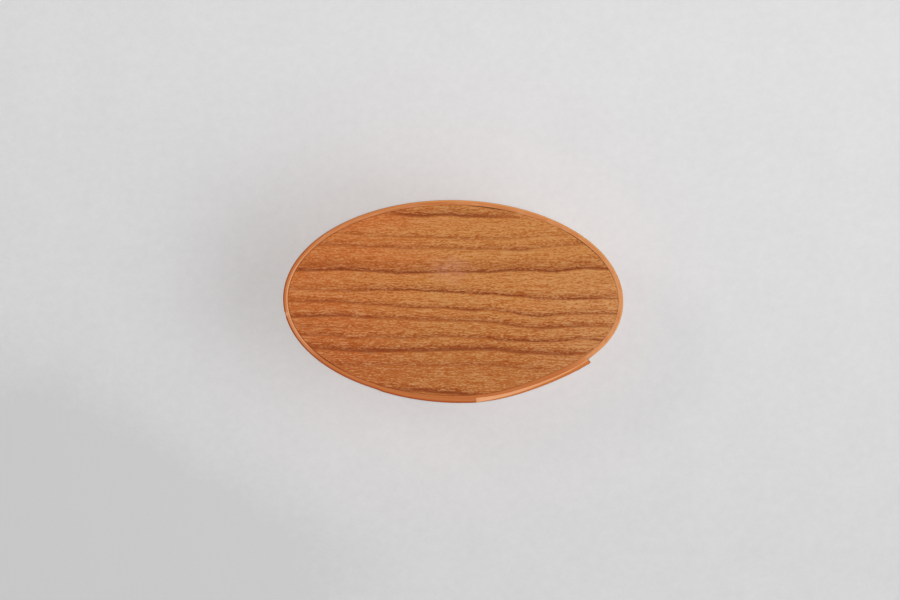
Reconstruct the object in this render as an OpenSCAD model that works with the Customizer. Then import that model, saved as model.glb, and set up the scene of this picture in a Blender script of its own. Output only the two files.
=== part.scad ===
// Bentwood oval box with a lift-off lid, in millimetres.
//
// Each band is one thin strip, bent round an oval until its ends overlap at the front.
// The outer end is cut into bevelled swallowtail fingers, and the inner end is feathered
// away to nothing, so the inside stays smooth. Copper tacks through the fingers are
// clinched inside. Oval boards close the box and the lid, each held by wooden pegs
// driven through the band.
//
// +Z is up and the origin is on the underside, in the middle of the oval. The long
// axis is X, the fingers are at the front (-Y) and point to the right (+X).

/* [Lid] */
// Length over the lid's bare band
lid_len = 114; // [90:1:150]
// Width over the lid's bare band
lid_w = 67.2; // [56:0.2:90]
// Height of the lid's band
lid_h = 15; // [13:0.5:20]
// How far the lid's rim stands above its board
rim_stand = 0.2; // [0.1:0.1:0.6]
// Gap all round between the box and the lid that slides over it
lid_fit = 0.3; // [0.25:0.05:0.8]

/* [Box] */
// Height of the box's band
box_h = 38; // [36:1:60]
// Number of fingers on the box's band
box_fingers = 2; // [1:1:2]
// Bare band left between the highest finger and the closed lid
finger_margin = 1.2; // [0.6:0.2:4]

/* [Wood] */
// Thickness of the bent strips
band_t = 1.6; // [1.3:0.1:2]
// Thickness of the box's bottom board
bottom_t = 5; // [3:0.5:6]
// Thickness of the lid's top board
top_t = 5; // [3:0.5:6]
// Gap between a board and the band round it
board_fit = 0.05; // [0.02:0.01:0.15]
// Easing of the long edges of each band
arris = 0.4; // [0.2:0.05:0.6]

/* [Lap] */
// Length of the fingers, from their base to their tips
finger_len = 40; // [30:1:50]
// Distance along the band from the middle of the front to the base of the fingers
seam_offset = 8; // [0:1:16]
// Overlap of the strip on itself, from the fingertips to the feathered end
lap_len = 70; // [67:1:90]
// Length over which the strip's inner end is feathered away
feather_len = 66; // [40:1:66]
// Thickness left at the end of the feather
feather_end = 0.2; // [0.15:0.05:0.4]
// Glue-free gap between the two layers of the lap
lap_gap = 0.08; // [0.06:0.01:0.2]
// How far the oval is drawn in under the fingers, so that the doubled band stays near the outline
lap_relief = 1.4; // [0:0.1:2]
// Length along the band of that drawn-in stretch
relief_len = 60; // [50:1:90]

/* [Fingers] */
// Width of a finger at its tip
tip_w = 5; // [4:0.2:6]
// Thickness that a finger is thinned to, towards its tip
tip_t = 1.5; // [1.1:0.05:1.6]
// How far the very end of a fingertip stands off the band under it
tip_rise = 0.25; // [0:0.05:0.4]
// Share of a finger's narrowing that its rounded arch takes
arch_share = 0.62; // [0.4:0.02:0.8]
// Length of the arch at the base of the fingers
arch_len = 12; // [6:1:20]
// Flat land left on a finger's edge at the tip, inside its bevel
tip_land = 0.35; // [0.3:0.05:0.6]
// Depth of the bevel at the tip, measured along the finger's face
tip_bevel = 0.8; // [0.6:0.1:1.1]
// Length of the rounding at the end of a finger
tip_round = 1.6; // [1:0.2:3]

/* [Tacks] */
// Diameter of a tack's head
head_d = 2.6; // [2.2:0.1:3]
// Height of a tack's domed head
head_h = 0.35; // [0.3:0.05:0.6]
// How far a head is driven into the wood
head_sink = 0.2; // [0.05:0.05:0.3]
// Diameter of a tack's shank
shank_d = 1.2; // [0.8:0.1:1.4]
// Length of the point that is bent over inside
clinch_len = 2; // [1.2:0.1:2.6]
// Distance from a fingertip to its tack
tip_tack = 4; // [3:0.5:8]
// Distance behind the base of the fingers of the second row of tacks
base_tack = 4; // [3:0.5:8]

/* [Pegs] */
// Number of pegs round each board
peg_count = 8; // [4:1:12]
// Diameter of a peg
peg_d = 2; // [1.2:0.1:2.4]
// Length of a peg, from the face of the band into the board
peg_len = 9; // [7:0.5:12]
// Distance from the ends of the lap's doubled front to the nearest peg
peg_margin = 12; // [8:1:18]

/* [Hidden] */
$fn = 32;

cherry = [0.72, 0.44, 0.24];
cherry_edge = [0.80, 0.53, 0.33];
copper = [0.78, 0.47, 0.33];
peg_wood = [0.86, 0.68, 0.45];

// The oval that both bands are drawn from: the inside of the lid's band before its relief
oval_a = lid_len / 2 - band_t;
oval_b = lid_w / 2 - band_t;

// How far inside that oval each band's own inner face lies
lid_inset = 0;
box_inset = lid_fit + band_t;

// Heights
seat_z = box_h;                             // the lid's board rests on the box's rim
lid_board_z = seat_z + top_t;               // upper face of the lid's board
lid_z = lid_board_z + rim_stand - lid_h;    // lower edge of the lid's band
finger_zone = lid_z - finger_margin;        // height of the box's band that has fingers
box_pitch = finger_zone / box_fingers;

// Places along the strip, measured clockwise from the fingertips as seen from above
base_q = finger_len;
feather_q = lap_len - feather_len;
relief_q = relief_len / 5;                  // middle of the drawn-in stretch
heel_len = 4;                               // run over which the outer layer comes down past the feather
root_len = 1;                               // depth of a finger's root in the wood behind its base
root_in = 0.25;                             // how far that root lies inside the strip's faces
rise_len = 4;                               // length of a fingertip that stands off
full_q = finger_len / 4;                    // a finger keeps its tip's thickness up to here

// Fits of pegs and tacks in their holes, on the radius
hole_fit = 0.02;
leg_d = 0.75 * shank_d;
leg_point = 0.4;                            // a clinched point's end, as a share of its root

// Stations round the oval, and along a finger
turn_steps = 120;
turn_step = 360 / turn_steps;
finger_steps = 16;

// ---------------------------------------------------------------- the oval
// A turn u is the oval's parameter in degrees, clockwise from the middle of the front.

function oval_point(u) = [-oval_a * sin(u), -oval_b * cos(u)];

function oval_normal(u) =
    let (n = [-oval_b * sin(u), -oval_a * cos(u)]) n / norm(n);

// Distance along the oval against the turn, as [turn, distance] rows
first_turn = -150;
last_turn = 510;
arc_rows = [for (u = first_turn, s = 0; u <= last_turn; u = u + turn_step / 2,
                 s = s + norm(oval_point(u) - oval_point(u - turn_step / 2))) [u, s]];
arc_turns = [for (r = arc_rows) [r[1], r[0]]];
front_s = lookup(0, arc_rows);
perimeter = lookup(360, arc_rows) - front_s;
tip_s = front_s - seam_offset - finger_len;

// Turn at a distance q along the strip, and back
function turn_at(q) = lookup(q + tip_s, arc_turns);
function strip_at(u) = lookup(u, arc_rows) - tip_s;

// The same place on the first pass of the strip, over the lap
function first_pass(q) = q > perimeter - relief_len ? q - perimeter : q;

function smooth(x) = let (t = min(1, max(0, x))) t * t * (3 - 2 * t);

// ---------------------------------------------------------------- the lap
// Thickness of the strip's inner end where it lies under the place q of the outer layer
function feather_t(q) =
    feather_end + (band_t - feather_end) * min(1, max(0, (lap_len - q) / feather_len));

// How far the outer layer is lifted off the oval by what lies under it
function lift(q) =
    q >= lap_len ? (feather_end + lap_gap) * (1 - smooth((q - lap_len - lap_gap) / heel_len))
                 : feather_t(q) + lap_gap + tip_rise * pow(max(0, 1 - q / rise_len), 2);

// Thickness of the strip itself, whose fingers are thinned and whose inner end is feathered
function strip_t(q) =
    q < base_q ? tip_t + (band_t - tip_t) * smooth((q - full_q) / (base_q - full_q))
    : q < perimeter ? band_t : feather_t(q - perimeter);

// How far the oval is drawn in at q
function relief(q) =
    let (x = (first_pass(q) - relief_q) / (relief_len / 2))
        abs(x) < 1 ? lap_relief * pow(cos(90 * x), 2) : 0;

// The box is drawn in as well by what its lap adds, so that its rim stays round enough for the lid
function rim_relief(q) =
    let (p = first_pass(q))
        p <= 0 || p > lap_len + heel_len + lap_gap ? 0
        : p < base_q ? lift(base_q) * smooth(p / base_q) : lift(p);

function inner_face(inset, q) = -inset - relief(q) - (inset > 0 ? rim_relief(q) : 0);

// Offset of the strip's inner face from the oval, with what lies under it
function strip_face(inset, q) = inner_face(inset, q) + (q < perimeter ? lift(q) : 0);

function place(u, out) = oval_point(u) + out * oval_normal(u);

// ---------------------------------------------------------------- sweeps
// A section at q between two offsets from the oval, from z0 to z1, with its outer edges
// bevelled outside a flat land
function ring_section(q, inner, outer, z0, z1, land, bevel) =
    [for (c = [[inner, z0], [inner, z1], [inner + land, z1], [outer, z1 - bevel],
               [outer, z0 + bevel], [inner + land, z0]])
        let (p = place(turn_at(q), c[0])) [p.x, p.y, c[1]]];

// The same for the strip itself
function section(inset, q, z0, z1, land, bevel) =
    let (f = strip_face(inset, q)) ring_section(q, f, f + strip_t(q), z0, z1, land, bevel);

// A closed solid through a list of sections that have the same number of points
module sweep(sections) {
    n = len(sections[0]);
    last = len(sections) - 1;
    polyhedron(
        points = [for (s = sections) each s],
        faces = concat(
            [[for (k = [n - 1:-1:0]) k]],
            [[for (k = [0:n - 1]) last * n + k]],
            [for (i = [0:last - 1], k = [0:n - 1])
                each let (a = i * n + k, b = i * n + (k + 1) % n)
                    [[a, b, b + n], [a, b + n, a + n]]]));
}

// The strip from the base of its fingers once round and under itself to the feathered end
module strip_body(inset, z0, h) {
    q_end = perimeter + lap_len;
    marks = [base_q, feather_q + perimeter, lap_len, lap_len + lap_gap + heel_len / 2, q_end];
    u0 = turn_at(base_q);
    u1 = turn_at(q_end);
    ring = [for (i = [ceil(u0 / turn_step):floor(u1 / turn_step)]) strip_at(i * turn_step)];
    near = turn_step / 8;
    rounds = [for (q = ring) if (min([for (m = marks) abs(turn_at(m) - turn_at(q))]) > near) q];
    sweep([for (q = sorted(concat(marks, rounds)))
        let (t = strip_t(q), e = min(arris, t / 2))
            section(inset, q, z0, z0 + h, t - e, e)]);
}

function sorted(v) =
    len(v) < 2 ? v
    : let (m = v[floor(len(v) / 2)])
        concat(sorted([for (x = v) if (x < m) x]), [m], sorted([for (x = v) if (x > m) x]));

// Half the width of a finger at x from its base, where half the width there is w0
function finger_half(x, w0) =
    let (gap = w0 - tip_w / 2,
         arch = pow(1 - pow(1 - min(1, x / arch_len), 2), 0.6),
         left = finger_len - x,
         blunt = left < tip_round ? 1 - sqrt(1 - pow(1 - left / tip_round, 2)) : 0)
        w0 - gap * (arch_share * arch + (1 - arch_share) * x / finger_len)
           - blunt * 0.45 * tip_w / 2;

// Stations along a finger, closer together in the arch and in the rounded tip
function finger_x(i) =
    let (t = i / finger_steps)
        t < 0.5 ? arch_len * pow(2 * t, 2)
        : t < 0.75 ? arch_len + (finger_len - tip_round - arch_len) * (4 * t - 2)
        : finger_len - tip_round * pow(4 - 4 * t, 2);

// A finger's section at x from its base. Its edges are bevelled more and more towards the tip
function finger_section(inset, x, z, w) =
    let (half = finger_half(x, w / 2),
         k = pow(x / finger_len, 0.8),
         land = min(strip_t(base_q - x) - arris / 2, band_t - arris - k * (band_t - arris - tip_land)),
         bevel = arris + k * (tip_bevel - arris))
        section(inset, base_q - x, z - half, z + half, land, bevel);

// One finger, whose middle is at height z and whose base is w high. It is one with the band
// through a root that runs into the wood behind its base
module finger(inset, z, w) {
    root_q = base_q + root_len;
    f = strip_face(inset, root_q) + root_in;
    half = w / 2 - root_in;
    root = ring_section(root_q, f, f + band_t - 2 * root_in, z - half, z + half,
                        band_t - 2 * root_in - arris, arris);
    sweep(concat([for (i = [finger_steps:-1:0]) finger_section(inset, finger_x(i), z, w)], [root]));
}

// A whole band before it is drilled, with its fingers one above another from its lower edge
module bare_band(inset, z0, h, fingers, pitch) {
    strip_body(inset, z0, h);
    for (i = [0:fingers - 1]) finger(inset, z0 + pitch * (i + 0.5), pitch);
}

// ---------------------------------------------------------------- tacks and pegs
// Puts its children on the outer face of the strip at q and height z, with +Z pointing outward
module on_face(inset, q, z) {
    u = turn_at(q);
    n = oval_normal(u);
    p = place(u, strip_face(inset, q) + strip_t(q));
    translate([p.x, p.y, z]) rotate([0, 90, atan2(n.y, n.x)]) children();
}

// A tack through wood of the given depth. Its bent-over point is sunk by so much
module tack(depth, sunk) {
    leg_z = sunk - depth;
    dome_r = (head_d * head_d / 4 + head_h * head_h) / (2 * head_h);
    tack_leg(leg_z, 0);
    translate([0, 0, -head_sink]) intersection() {
        translate([0, 0, head_h - dome_r]) sphere(r = dome_r);
        cylinder(r = head_d / 2, h = 2 * head_h);
    }
}

// Its shank, and its point bent over along the band
module tack_leg(leg_z, fit) {
    translate([0, 0, leg_z - leg_d / 2 - fit])
        cylinder(r = shank_d / 2 + fit, h = leg_d / 2 + fit - leg_z - head_sink + head_h / 4);
    translate([0, 0, leg_z]) rotate([-90, 0, 0])
        cylinder(r1 = leg_d / 2 + fit, r2 = leg_point * leg_d / 2 + fit, h = clinch_len + fit);
}

// The hole that it leaves, with a seat for its head
module tack_hole(depth, sunk) {
    tack_leg(sunk - depth, hole_fit);
    translate([0, 0, -head_sink - hole_fit])
        cylinder(r = head_d / 2 + hole_fit, h = head_sink + head_h);
}

// The tacks of one band at q, one on the middle line of each finger
module tack_row(inset, q, z0, fingers, pitch, sunk, hole = false) {
    depth = lift(q) + strip_t(q);
    for (i = [0:fingers - 1])
        on_face(inset, q, z0 + pitch * (i + 0.5))
            if (hole) tack_hole(depth, sunk); else tack(depth, sunk);
}

// The pegs round one board, from just behind the fingers right round to just short of their tips
module peg_ring(inset, z, fit = 0) {
    q0 = base_q + peg_margin;
    q1 = perimeter - peg_margin;
    for (i = [0:peg_count - 1])
        on_face(inset, q0 + (q1 - q0) * i / (peg_count - 1), z)
            translate([0, 0, -peg_len - fit]) cylinder(r = peg_d / 2 + fit, h = peg_len + 2 * fit);
}

module box_tacks(q, hole = false) {
    tack_row(box_inset, q, 0, box_fingers, box_pitch, 0, hole);
}

// The lid's clinched points lie flush in the wood, because the box slides past them
module lid_tacks(q, hole = false) {
    tack_row(lid_inset, q, lid_z, 1, lid_h, leg_d / 2 + hole_fit, hole);
}

module peg_row_box(fit = 0) {
    peg_ring(box_inset, bottom_t / 2, fit);
}

module peg_row_lid(fit = 0) {
    peg_ring(lid_inset, lid_board_z - top_t / 2, fit);
}

// An oval board that fills a band
module board(inset, z0, t) {
    translate([0, 0, z0]) linear_extrude(t)
        polygon([for (i = [0:turn_steps - 1])
            let (u = i * turn_step, q = strip_at(u > 180 ? u : u + 360))
                place(u, inner_face(inset, q) - board_fit)]);
}

// ---------------------------------------------------------------- the box
module bottom_board() {
    color(cherry) difference() {
        board(box_inset, 0, bottom_t);
        peg_row_box(hole_fit);
    }
}

module box_band() {
    color(cherry_edge) difference() {
        bare_band(box_inset, 0, box_h, box_fingers, box_pitch);
        box_tacks(tip_tack, hole = true);
        box_tacks(base_q + base_tack, hole = true);
        peg_row_box(hole_fit);
    }
}

module box_fingertip_tacks() {
    color(copper) box_tacks(tip_tack);
}

module box_base_tacks() {
    color(copper) box_tacks(base_q + base_tack);
}

module bottom_pegs() {
    color(peg_wood) peg_row_box();
}

// ---------------------------------------------------------------- the lid
module lid_board() {
    color(cherry) difference() {
        board(lid_inset, seat_z, top_t);
        peg_row_lid(hole_fit);
    }
}

module lid_band() {
    color(cherry_edge) difference() {
        bare_band(lid_inset, lid_z, lid_h, 1, lid_h);
        lid_tacks(tip_tack, hole = true);
        lid_tacks(base_q + base_tack, hole = true);
        peg_row_lid(hole_fit);
    }
}

module lid_fingertip_tack() {
    color(copper) lid_tacks(tip_tack);
}

module lid_base_tack() {
    color(copper) lid_tacks(base_q + base_tack);
}

module lid_pegs() {
    color(peg_wood) peg_row_lid();
}

bottom_board();
box_band();
box_fingertip_tacks();
box_base_tacks();
bottom_pegs();
lid_board();
lid_band();
lid_fingertip_tack();
lid_base_tack();
lid_pegs();
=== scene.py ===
"""Looks of the bentwood oval box, in metres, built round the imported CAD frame.

The bands, boards, tacks and pegs are modelled again as fine meshes from the same rules as the
CAD: an oval, and one strip that runs round it, under itself and out again. A place on a strip
is given by q, the distance along it from its fingertips, clockwise as seen from above, by its
offset from the oval, and by its height.
"""
import math

import bpy
import numpy as np
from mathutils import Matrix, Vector


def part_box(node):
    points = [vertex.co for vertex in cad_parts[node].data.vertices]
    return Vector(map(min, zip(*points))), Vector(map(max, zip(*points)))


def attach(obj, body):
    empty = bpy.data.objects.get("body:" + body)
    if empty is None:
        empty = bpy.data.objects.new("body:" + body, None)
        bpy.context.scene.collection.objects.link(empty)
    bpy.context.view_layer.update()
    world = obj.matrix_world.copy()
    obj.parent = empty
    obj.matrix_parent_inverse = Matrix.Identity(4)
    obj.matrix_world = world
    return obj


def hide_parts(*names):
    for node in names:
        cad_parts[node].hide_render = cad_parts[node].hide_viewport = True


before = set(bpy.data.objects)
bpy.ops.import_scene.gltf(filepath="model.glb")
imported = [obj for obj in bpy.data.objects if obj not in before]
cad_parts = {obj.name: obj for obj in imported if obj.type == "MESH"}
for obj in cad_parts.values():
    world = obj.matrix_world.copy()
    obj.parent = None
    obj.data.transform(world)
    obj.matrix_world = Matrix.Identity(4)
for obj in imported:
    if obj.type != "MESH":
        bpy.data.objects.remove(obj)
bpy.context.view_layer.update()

MM = 0.001

# ---------------------------------------------------------------- sizes from the frame
lid_low, lid_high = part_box("lid_band")
lid_board_low, lid_board_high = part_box("lid_board")
box_low, box_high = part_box("box_band")
bottom_low, bottom_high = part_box("bottom_board")

# ---------------------------------------------------------------- sizes of the strip
BAND_T = 1.6 * MM            # thickness of the strips
LID_FIT = 0.3 * MM           # gap between the box and the lid over it
ARRIS = 0.45 * MM            # rounding of a band's outer long edges
INNER_ARRIS = 0.10 * MM      # rounding of its inner long edges
PRESSED_ARRIS = 0.03 * MM    # rounding of the edges that lie pressed together in the lap
FINGER_LEN = 40 * MM
SEAM_OFFSET = 8 * MM         # from the middle of the front to the base of the fingers
LAP_LEN = 70 * MM            # from the fingertips to the inner end
FEATHER_LEN = 66 * MM        # how much of the inner end is thinned
FEATHER_END = 0.2 * MM       # its thickness where the lap ends
LAP_GAP = 0.08 * MM          # between the two layers of the lap, as in the CAD
PRESSED = 0.06 * MM          # how much of that gap the inner layer fills here
LAP_RELIEF = 1.4 * MM        # how far the oval is drawn in under the fingers
RELIEF_LEN = 60 * MM
HEEL_LEN = 4 * MM            # where the outer layer comes down behind the inner end
FINGER_MARGIN = 1.2 * MM     # between the box's fingers and the lid
BOX_FINGERS = 2
STRIP_STEP = 0.6 * MM        # length of a mesh face along the strip
INNER_END = 0.8 * HEEL_LEN   # how far the inner end runs out past the lap
THINNEST = 0.01 * MM         # what is left of the inner end where it stops
RIM_SAG = 0.08 * MM          # how unevenly a band's upper edge is worn down
NICK_HALF = 0.6 * MM         # half the length of the nick in the lid's rim
NICK_OUT = 0.1 * MM          # how deep the nick is from outside
NICK_DOWN = 0.15 * MM        # how deep it is from above
NICK_STEP = 0.15 * MM        # length of a mesh face along it
BAND_ROUNDING = 7            # points on each rounded edge of a band
FINGER_ROUNDING = 4          # and of a finger

# Fingers
TIP_W = 5 * MM               # width of a finger at its tip
TIP_T = 1.5 * MM             # thickness of a finger towards its tip
TIP_RISE = 0.25 * MM         # how far a fingertip's end stands off
RISE_LEN = 4 * MM
ARCH_SHARE = 0.62            # share of a finger's narrowing that its arch takes
ARCH_LEN = 12 * MM           # length of the arch at the base of the fingers
ARCH_POWER = 0.6
TIP_LAND = 0.35 * MM         # height of a finger's upright side at its tip, below the bevel
TIP_BEVEL = 0.8 * MM
TIP_ROUND = 1.6 * MM         # rounding of a tip's corners, seen from the front
TIP_BLUNT = 0.45             # share of a tip's width that its rounded corners take
TIP_END = 0.45 * MM          # rounding of the fingertip's end grain
MIN_BEVEL = 0.1 * MM         # a finger's bevel at its base
ROOT_LEN = 1 * MM            # how far a finger's mesh reaches back into the band
ROOT_INSET = 0.3 * MM        # and how far below the band's faces it ends there

# Tacks and pegs
HEAD_R = 1.3 * MM
HEAD_H = 0.35 * MM
HEAD_SINK = 0.2 * MM         # how far a head is driven into the wood
SHANK_R = 0.6 * MM
LEG_R = 0.45 * MM
CLINCH_LEN = 2 * MM
CLINCH_TURN = 0.45 * MM      # radius of the bend of a tack's point
TIP_TACK = 4 * MM
BASE_TACK = 4 * MM
PEG_R = 1 * MM
PEG_LEN = 9 * MM
PEG_COUNT = 8
PEG_MARGIN = 12 * MM         # from the fingers' base, and from their tips, to a peg
PEG_PROUD = 0.03 * MM        # how far a peg's end stands out of the band
HEAD_POINTS = 48             # points round a tack's head, its shank and a peg
SHANK_POINTS = 20
PEG_POINTS = 32

# ---------------------------------------------------------------- the photograph
PHOTO_W = 900                # width of the image
LID_PX = 340.3               # length of the lid in it
CENTRE_PX = (453.2, 300.3)   # middle of the lid's oval in it
IMAGE_MIDDLE = (450, 300)
TURN_DEG = 0.71              # the lid lies turned clockwise by this in the image
CAMERA_H = 1000 * MM         # the camera's height over the lid
SENSOR = 36.0


# ---------------------------------------------------------------- the oval and the strip
oval_a = (lid_high.x - lid_low.x) / 2 - BAND_T
oval_b = lid_high.y - BAND_T
LID_INSET = 0.0
BOX_INSET = LID_FIT + BAND_T


def oval_point(u):
    """Points of the oval at turns u, in radians, clockwise from the middle of the front."""
    return np.stack([-oval_a * np.sin(u), -oval_b * np.cos(u)], -1)


def oval_normal(u):
    n = np.stack([-oval_b * np.sin(u), -oval_a * np.cos(u)], -1)
    return n / np.linalg.norm(n, axis=-1, keepdims=True)


# A table of the run along the oval, every eighth of a degree and further than once round
ARC_TURNS = np.linspace(math.radians(-150), math.radians(510), 5281)
steps = np.linalg.norm(np.diff(oval_point(ARC_TURNS), axis=0), axis=1)
ARC_RUN = np.concatenate([[0.0], np.cumsum(steps)])
front_s = np.interp(0.0, ARC_TURNS, ARC_RUN)
perimeter = np.interp(2 * math.pi, ARC_TURNS, ARC_RUN) - front_s
tip_s = front_s - SEAM_OFFSET - FINGER_LEN


def turn_at(q):
    """Turn of the oval at strip places q."""
    return np.interp(np.asarray(q) + tip_s, ARC_RUN, ARC_TURNS)


def strip_at(u):
    """Place on the strip at turns u."""
    return np.interp(u, ARC_TURNS, ARC_RUN) - tip_s


def smooth(x):
    t = np.clip(x, 0, 1)
    return t * t * (3 - 2 * t)


def first_pass(q):
    """Places of the inner layer, given as those of the outer layer over it."""
    return np.where(q > perimeter - RELIEF_LEN, q - perimeter, q)


def feather_t(q):
    """Thickness of the strip's inner end under the place q of the outer layer."""
    return FEATHER_END + (BAND_T - FEATHER_END) * np.clip((LAP_LEN - q) / FEATHER_LEN, 0, 1)


def lift(q):
    """How far the outer layer is lifted off the oval by what lies under it."""
    past = (FEATHER_END + LAP_GAP) * (1 - smooth((q - LAP_LEN - LAP_GAP) / HEEL_LEN))
    rise = TIP_RISE * np.maximum(0, 1 - q / RISE_LEN) ** 2
    return np.where(q >= LAP_LEN, past, feather_t(q) + LAP_GAP + rise)


def strip_t(q):
    """Thickness of the strip. Its fingers are thinned and its inner end runs out to nothing."""
    q = np.asarray(q, float)
    finger = TIP_T + (BAND_T - TIP_T) * smooth((q / FINGER_LEN - 0.25) / 0.75)
    under = q - perimeter
    inner = np.where(under < LAP_LEN, feather_t(under) + PRESSED,
                     np.maximum(lift(under) - (LAP_GAP - PRESSED), THINNEST))
    return np.where(q < FINGER_LEN, finger, np.where(q < perimeter, BAND_T, inner))


def relief(q):
    """How far the oval is drawn in under the fingers."""
    x = (first_pass(q) - RELIEF_LEN / 5) / (RELIEF_LEN / 2)
    return np.where(np.abs(x) < 1, LAP_RELIEF * np.cos(math.pi / 2 * np.clip(x, -1, 1)) ** 2, 0)


def rim_relief(q):
    """How much more the box is drawn in, by what its lap adds."""
    p = first_pass(q)
    drawn = np.where(p < FINGER_LEN, lift(np.asarray(FINGER_LEN)) * smooth(p / FINGER_LEN), lift(p))
    return np.where((p <= 0) | (p > LAP_LEN + HEEL_LEN + LAP_GAP), 0, drawn)


def inner_face(inset, q):
    """Offset from the oval of the face that the boards meet."""
    q = np.asarray(q, float)
    return -inset - relief(q) - (rim_relief(q) if inset > 0 else 0)


def strip_face(inset, q):
    """Offset of the strip's inner face, with what lies under it."""
    q = np.asarray(q, float)
    return inner_face(inset, q) + np.where(q < perimeter, lift(q), 0)


def place(q, out, z):
    """Points at strip places q, offsets out and heights z, all of one shape."""
    u = turn_at(q)
    flat = oval_point(u) + np.asarray(out)[..., None] * oval_normal(u)
    return np.concatenate([flat, np.broadcast_to(z, np.shape(out))[..., None]], -1)


def at_right(q):
    """How near places are to the right end, where board and band sit tight and sharp."""
    x = place(q, np.zeros_like(q), 0)[..., 0]
    return smooth((x - 10 * MM) / (25 * MM))


def waver(x, seed, length):
    """A slow curve between 0 and 1 along x, made of three sines."""
    phases = seed * np.array([1.7, 2.9, 4.3])
    turns = 2 * math.pi * np.asarray(x)[..., None] / length * np.array([1.0, 1.73, 2.61])
    return 0.5 + (np.sin(turns + phases) * np.array([0.25, 0.15, 0.1])).sum(-1)


# ---------------------------------------------------------------- meshes
def new_object(name, verts, faces, material, smooth_angle=40):
    """A mesh with one material, shaded smooth but for edges sharper than smooth_angle."""
    mesh = bpy.data.meshes.new(name)
    mesh.from_pydata([tuple(v) for v in verts], [], faces)
    mesh.materials.append(material)
    mesh.shade_smooth()
    mesh.set_sharp_from_angle(angle=math.radians(smooth_angle))
    piece = bpy.data.objects.new(name, mesh)
    bpy.context.collection.objects.link(piece)
    return piece


def add_attribute(piece, name, values):
    """A number or a vector at every point of a piece, for its material to read."""
    values = np.asarray(values, np.float32)
    vector = values.ndim == 2
    made = piece.data.attributes.new(name, "FLOAT_VECTOR" if vector else "FLOAT", "POINT")
    made.data.foreach_set("vector" if vector else "value", values.ravel())


def steady_normals(piece):
    """Keeps broad faces flat and lets the small edges between them take the rounding."""
    weighted = piece.modifiers.new("normals", "WEIGHTED_NORMAL")
    weighted.keep_sharp = True


def tube_faces(rows, ring, start=0, closed=True):
    """Faces of a closed skin through rows of ring points each, outward where rings turn right."""
    faces = []
    for i in range(rows - 1):
        a = start + i * ring
        for k in range(ring):
            n = (k + 1) % ring
            faces.append((a + k, a + n, a + ring + n, a + ring + k))
    if closed:
        faces.append(tuple(start + k for k in range(ring - 1, -1, -1)))
        faces.append(tuple(start + (rows - 1) * ring + k for k in range(ring)))
    return faces


def close_ends(verts, faces, rows, ring, low, high):
    """Closes a skin of rows round the Z axis with a point in the middle of each end."""
    for z, start, turned in ((low, 0, True), (high, (rows - 1) * ring, False)):
        middle = len(verts)
        verts.append((0.0, 0.0, z))
        fan = [(start + k, start + (k + 1) % ring, middle) for k in range(ring)]
        faces += [f[::-1] for f in fan] if turned else fan


class Parts:
    """Collects skins, with the grain and the marks that materials read, for one piece."""

    def __init__(self):
        self.points, self.grain, self.faces = [], [], []
        self.marks = {"cut": [], "edge": [], "rim": [], "depth": []}
        self.count = 0

    def skin(self, q, out, z, marks, flip=False):
        """A closed skin through sections. All inputs are rows of ring values."""
        rows, ring = out.shape
        faces = tube_faces(rows, ring, self.count)
        self.faces += [f[::-1] for f in faces] if flip else faces
        self.points.append(place(q, out, z).reshape(-1, 3))
        self.grain.append(np.stack([q, out, z], -1).reshape(-1, 3))
        for name, values in marks.items():
            self.marks[name].append(np.broadcast_to(values, out.shape).ravel())
        self.count += rows * ring

    def piece(self, name, material):
        made = new_object(name, np.concatenate(self.points), self.faces, material)
        add_attribute(made, "grain", np.concatenate(self.grain))
        for mark, values in self.marks.items():
            add_attribute(made, mark, np.concatenate(values))
        return made


def rounded_ring(corners, radii, marks, segments):
    """Rounds the corners of sections. corners is (rows, n, 2), radii (rows, n). marks has a row
    for each corner: the cut and edge values of the side that starts there, the edge value of the
    rounding itself, and the side's rim value."""
    before = np.roll(corners, 1, 1) - corners
    after = np.roll(corners, -1, 1) - corners
    points, cuts, edges, rims = [], [], [], []
    for k in range(corners.shape[1]):
        here = corners[:, k]
        arms = []
        for side in (before[:, k], after[:, k]):
            length = np.maximum(np.linalg.norm(side, axis=1, keepdims=True), 1e-9)
            arms.append(side / length * np.minimum(radii[:, k:k + 1], 0.48 * length))
        for t in np.linspace(0, 1, segments):
            points.append(here + arms[0] * (1 - t) ** 2 + arms[1] * t ** 2)
            blend = marks[k - 1] * (1 - t) + marks[k] * t
            bulge = 4 * t * (1 - t)
            cuts.append(blend[0])
            edges.append(max(blend[1], marks[k, 2] * bulge))
            rims.append(blend[3])
    named = {"cut": np.array(cuts), "edge": np.array(edges), "rim": np.array(rims)}
    return np.stack(points, 1), named


# ---------------------------------------------------------------- bands
NICK_Q = float(strip_at(math.radians(81)))   # a small nick in the lid's rim, at its left end


def finger_half(x, w0):
    """Half the width of a finger at x from its base."""
    gap = w0 - TIP_W / 2
    arch = (1 - (1 - np.minimum(1, x / ARCH_LEN)) ** 2) ** ARCH_POWER
    taper = ARCH_SHARE * arch + (1 - ARCH_SHARE) * x / FINGER_LEN
    left = FINGER_LEN - x
    corner = 1 - np.clip(left, 0, TIP_ROUND) / TIP_ROUND
    blunt = np.where(left < TIP_ROUND, 1 - np.sqrt(np.maximum(0, 1 - corner ** 2)), 0)
    return w0 - gap * taper - blunt * TIP_BLUNT * TIP_W / 2


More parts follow.
